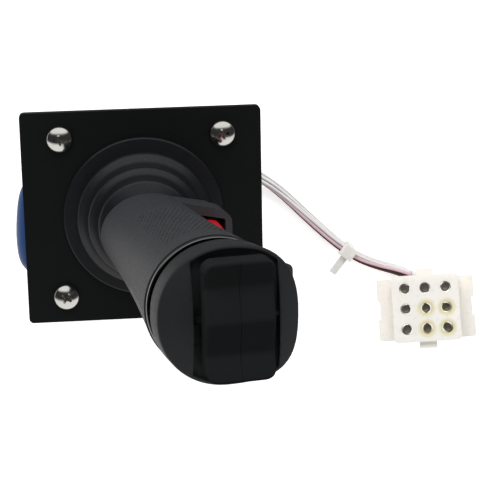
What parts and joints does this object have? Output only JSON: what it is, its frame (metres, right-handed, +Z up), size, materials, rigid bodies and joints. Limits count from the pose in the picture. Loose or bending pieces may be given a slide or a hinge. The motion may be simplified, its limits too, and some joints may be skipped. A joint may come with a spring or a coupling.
{
  "type": "joystick controller",
  "caption": "Single-axis panel joystick with a leaning pistol grip, trigger, thumb rocker, rubber boot, geared position sensor and plug-ended harness.",
  "frame": {"origin": "middle of the four panel screws, on the underside of the face plate", "axes": "+Z up through the handle, +X forward to the trigger side, +Y to the operator's left"},
  "size_m": [0.152, 0.0896, 0.1611],
  "materials": {
    "plate_paint": "black powder coat, matt",
    "bright_steel": "bright nickel-plated steel",
    "zinc_steel": "zinc-plated sheet and hardware",
    "bronze": "sintered bronze",
    "ground_steel": "ground steel pin stock",
    "spring_steel": "spring wire",
    "boot_rubber": "matt black rubber",
    "sensor_blue": "glossy deep blue moulding",
    "brass": "turned brass",
    "tinned_metal": "tin-plated contact metal",
    "wire_sheath": "PVC wire insulation in several colours",
    "shrink_sleeve": "black shrink tube",
    "clip_nylon": "black nylon",
    "tie_nylon": "natural nylon",
    "connector_nylon": "natural translucent nylon",
    "cast_hub": "die-cast, as cast",
    "gear_steel": "blanked steel",
    "rod_steel": "plated steel tube",
    "grip_black": "fine-textured black moulding",
    "black_steel": "black oxide screws",
    "switch_black": "black moulding",
    "ring_gloss": "gloss black",
    "cap_black": "satin black moulding",
    "trigger_red": "red moulding",
    "plunger_white": "natural acetal",
    "rocker_black": "satin black moulding"
  },
  "bodies": {
    "base": {"face_plate": "plate_paint", "panel_screws": "bright_steel", "weld_studs": "zinc_steel", "frame_nuts": "zinc_steel", "bracket_nuts": "zinc_steel", "pivot_frame": "zinc_steel", "shaft_bushes": "bronze", "stop_pins": "ground_steel", "spring_post": "ground_steel", "return_spring": "spring_steel", "boot": "boot_rubber", "sensor_body": "sensor_blue", "sensor_bush": "brass", "sensor_bracket": "zinc_steel", "sensor_washer": "zinc_steel", "sensor_nut": "brass", "sensor_terminals": "tinned_metal", "sensor_lead": "wire_sheath", "handle_lead": "wire_sheath", "loom_sleeve": "shrink_sleeve", "cable_clamp": "clip_nylon", "clamp_screw": "bright_steel", "harness": "wire_sheath", "cable_tie": "tie_nylon", "connector_housing": "connector_nylon", "connector_contacts": "tinned_metal"},
    "lever": {"pivot_shaft": "ground_steel", "shaft_clips": "spring_steel", "lever_hub": "cast_hub", "hub_pin": "ground_steel", "spring_tongue": "ground_steel", "sector_gear": "gear_steel", "gear_screws": "bright_steel", "lever_rod": "rod_steel", "grip_left": "grip_black", "grip_right": "grip_black", "grip_screws": "black_steel", "trigger_pin": "ground_steel", "trigger_spring": "spring_steel", "trigger_switch": "switch_black", "switch_screws": "bright_steel", "collar_ring": "ring_gloss", "cap_housing": "cap_black", "rocker_pin": "ground_steel", "rocker_switch": "switch_black", "handle_wires": "wire_sheath"},
    "trigger": {"trigger": "trigger_red"},
    "plunger": {"switch_plunger": "plunger_white"},
    "rocker": {"rocker": "rocker_black", "rocker_stem": "plunger_white"},
    "sensor_rotor": {"sensor_shaft": "ground_steel", "pinion_gear": "brass", "pinion_set_screw": "black_steel"}
  },
  "joints": [
    {"name": "lever_tilt", "type": "hinge", "parent": "base", "child": "lever", "pos_m": [0, 0, -0.0185], "axis": [0, 1, 0], "range_deg": [-20, 20], "stiffness_Nm_per_rad": 2.5, "deforming": ["boot", "return_spring", "handle_lead"]},
    {"name": "trigger_pull", "type": "hinge", "parent": "lever", "child": "trigger", "pos_m": [0.02419, 0, 0.08904], "axis": [0, 1, 0], "range_deg": [0, 4.5], "stiffness_Nm_per_rad": 1.5, "deforming": ["trigger_spring"]},
    {"name": "plunger_press", "type": "slide", "parent": "lever", "child": "plunger", "axis": [-0.9866, 0, 0.1633], "range_m": [0, 0.0012]},
    {"name": "rocker_tilt", "type": "hinge", "parent": "lever", "child": "rocker", "pos_m": [0.01795, 0, 0.11562], "axis": [0.9866, 0, -0.1633], "range_deg": [-8, 8], "stiffness_Nm_per_rad": 0.3},
    {"name": "sensor_turn", "type": "hinge", "parent": "base", "child": "sensor_rotor", "pos_m": [-0.03, 0, -0.0185], "axis": [0, 1, 0], "range_deg": [-75, 75]}
  ],
  "couplings": [
    {"joint": "sensor_turn", "follows": "lever_tilt", "ratio": -3.6875},
    {"joint": "plunger_press", "follows": "trigger_pull", "m_per_rad": 0.014}
  ]
}
